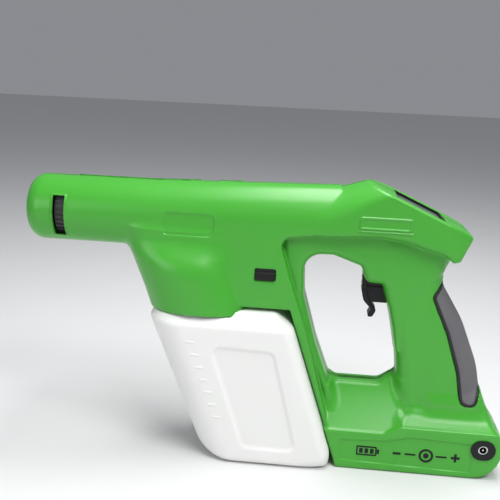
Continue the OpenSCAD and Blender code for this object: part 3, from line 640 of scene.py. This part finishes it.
def plastic(name, colour, roughness, grain=0.0003, depth=0.12, varied=0.06, sheen=0.5):
    """Moulded plastic: a fine grain in the surface and a slight drift in colour and gloss."""
    material, tree, shader = nodes_of(name)
    links = tree.links
    place = tree.nodes.new("ShaderNodeTexCoord")
    grain_noise = tree.nodes.new("ShaderNodeTexNoise")
    grain_noise.inputs["Scale"].default_value = 1 / grain
    grain_noise.inputs["Detail"].default_value = 2
    drift = tree.nodes.new("ShaderNodeTexNoise")
    drift.inputs["Scale"].default_value = 18
    mix = tree.nodes.new("ShaderNodeMix")
    mix.data_type = "RGBA"
    dark = [c * (1 - varied) for c in colour[:3]] + [1]
    light = [min(c * (1 + varied), 1) for c in colour[:3]] + [1]
    mix.inputs["A"].default_value = dark
    mix.inputs["B"].default_value = light
    bump = tree.nodes.new("ShaderNodeBump")
    bump.inputs["Strength"].default_value = depth
    bump.inputs["Distance"].default_value = grain
    rough = tree.nodes.new("ShaderNodeMapRange")
    rough.inputs["To Min"].default_value = roughness * 0.85
    rough.inputs["To Max"].default_value = min(roughness * 1.15, 1)
    links.new(place.outputs["Object"], grain_noise.inputs["Vector"])
    links.new(place.outputs["Object"], drift.inputs["Vector"])
    links.new(drift.outputs["Fac"], mix.inputs["Factor"])
    links.new(mix.outputs["Result"], shader.inputs["Base Color"])
    links.new(grain_noise.outputs["Fac"], bump.inputs["Height"])
    links.new(drift.outputs["Fac"], rough.inputs["Value"])
    links.new(rough.outputs["Result"], shader.inputs["Roughness"])
    links.new(bump.outputs["Normal"], shader.inputs["Normal"])
    shader.inputs["Specular IOR Level"].default_value = sheen
    return material


def metal(name, colour, roughness):
    """Metal with fine scratches that vary the gloss."""
    material = plastic(name, colour, roughness, grain=0.0002, depth=0.08, varied=0.1)
    shader = material.node_tree.nodes["Principled BSDF"]
    shader.inputs["Metallic"].default_value = 1
    return material


def translucent(name, colour):
    """Blown tank plastic, milky and soft."""
    material = plastic(name, colour, 0.42, grain=0.0006, depth=0.1, varied=0.02)
    shader = material.node_tree.nodes["Principled BSDF"]
    shader.inputs["Subsurface Weight"].default_value = 0.35
    shader.inputs["Subsurface Radius"].default_value = (0.01, 0.01, 0.009)
    shader.inputs["Subsurface Scale"].default_value = 0.6
    return material


def striped_lens(name):
    """Glossy grey window in lighter and darker bands along the slope."""
    material = plastic(name, (0.16, 0.18, 0.19), 0.12, depth=0.02, varied=0.1, sheen=0.8)
    tree = material.node_tree
    shader = tree.nodes["Principled BSDF"]
    place = tree.nodes.new("ShaderNodeTexCoord")
    bands = tree.nodes.new("ShaderNodeTexWave")
    bands.bands_direction = "Y"
    bands.inputs["Scale"].default_value = 45
    ramp = tree.nodes.new("ShaderNodeValToRGB")
    ramp.color_ramp.elements[0].color = (0.05, 0.06, 0.065, 1)
    ramp.color_ramp.elements[1].color = (0.33, 0.36, 0.37, 1)
    tree.links.new(place.outputs["Object"], bands.inputs["Vector"])
    tree.links.new(bands.outputs["Fac"], ramp.inputs["Fac"])
    tree.links.new(ramp.outputs["Color"], shader.inputs["Base Color"])
    return material


GREEN = (0.055, 0.36, 0.03)
SLOTS = {
    "body_green": plastic("body_green", GREEN, 0.3, grain=0.0004, depth=0.08, varied=0.03),
    "tank_white": translucent("tank_white", (0.86, 0.86, 0.83)),
    "black_plastic": plastic("black_plastic", (0.006, 0.006, 0.007), 0.42, varied=0.3, sheen=0.3),
    "dark_plastic": plastic("dark_plastic", (0.03, 0.028, 0.032), 0.5, varied=0.25),
    "grey_rubber": plastic("grey_rubber", (0.13, 0.125, 0.135), 0.75, grain=0.0007, depth=0.5,
                           varied=0.12),
    # black rubber colours the rim round the grip pad, painted shade for the gap there.
    "black_rubber": plastic("black_rubber", (0.012, 0.012, 0.014), 0.6, grain=0.0005, depth=0.3,
                            varied=0.3),
    "white_plastic": plastic("white_plastic", (0.75, 0.75, 0.73), 0.45),
    "lens_grey": striped_lens("lens_grey"),
    "steel": metal("steel", (0.6, 0.6, 0.61), 0.3),
    "chrome": metal("chrome", (0.85, 0.85, 0.86), 0.12),
    "brass": metal("brass", (0.78, 0.55, 0.2), 0.28),
    "hose_clear": plastic("hose_clear", (0.6, 0.64, 0.66), 0.35),
    "board_green": plastic("board_green", (0.012, 0.12, 0.04), 0.4, varied=0.25),
    "cell_wrap": plastic("cell_wrap", (0.03, 0.13, 0.36), 0.3),
    "wire_red": plastic("wire_red", (0.45, 0.02, 0.015), 0.35),
}


def paint():
    """Each CAD node and each piece takes the finish of its slot in the record."""
    for entry in frame["record"]["subparts"]:
        item = frame["nodes"][entry["node"]]
        item.data.materials.clear()
        item.data.materials.append(SLOTS[entry["material_slot"]])
    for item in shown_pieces():
        if "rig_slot" in item:
            item.data.materials.clear()
            item.data.materials.append(SLOTS[item["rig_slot"]])


# ---------- camera, floor and light ----------

def make_camera():
    """Camera to the left of the sprayer and above it, with a 57.6 mm lens."""
    position = Vector((44.3, -653.2, 325.5)) * MM
    right = Vector((0.9943, 0.0972, 0.0442)).normalized()
    back = Vector((0.0849, -0.9707, 0.2250)).normalized()
    up = back.cross(right)
    data = bpy.data.cameras.new("camera")
    data.lens = 57.6
    data.sensor_width = 36
    data.clip_start = 0.01
    camera = bpy.data.objects.new("camera", data)
    camera.matrix_world = Matrix.Translation(position) @ Matrix((right, up, back)).transposed().to_4x4()
    bpy.context.scene.collection.objects.link(camera)
    bpy.context.scene.camera = camera


def make_light(name, position, aim, size, power):
    data = bpy.data.lights.new(name, "AREA")
    data.shape = "RECTANGLE"
    data.size = size[0]
    data.size_y = size[1]
    data.energy = power
    light = bpy.data.objects.new(name, data)
    light.location = position
    light.rotation_euler = (Vector(aim) - Vector(position)).to_track_quat("-Z", "Y").to_euler()
    bpy.context.scene.collection.objects.link(light)


def make_stage():
    bpy.context.scene.view_settings.view_transform = "Standard"
    bpy.ops.mesh.primitive_plane_add(size=12, location=(0, 0, -0.0005))
    floor = bpy.context.object
    floor.name = "floor"
    floor.data.materials.append(plastic("floor", (0.72, 0.72, 0.72), 0.8, varied=0.01, depth=0.0))
    world = bpy.data.worlds.new("world")
    world.use_nodes = True
    world.node_tree.nodes["Background"].inputs["Color"].default_value = (0.9, 0.93, 1, 1)
    world.node_tree.nodes["Background"].inputs["Strength"].default_value = 0.28
    bpy.context.scene.world = world
    make_light("key", (0.5, -0.7, 1.1), (0, 0, 0.15), (0.7, 0.4), 9)
    make_light("top", (0.1, 0.0, 1.2), (0, 0, 0.15), (1.0, 0.4), 13)
    make_light("fill", (-0.8, -1.0, 0.5), (0, 0, 0.12), (0.6, 0.6), 3)


make_body()
make_pad()
make_tank()
make_trigger()
make_button()
make_base_marks()
paint()
make_camera()
make_stage()
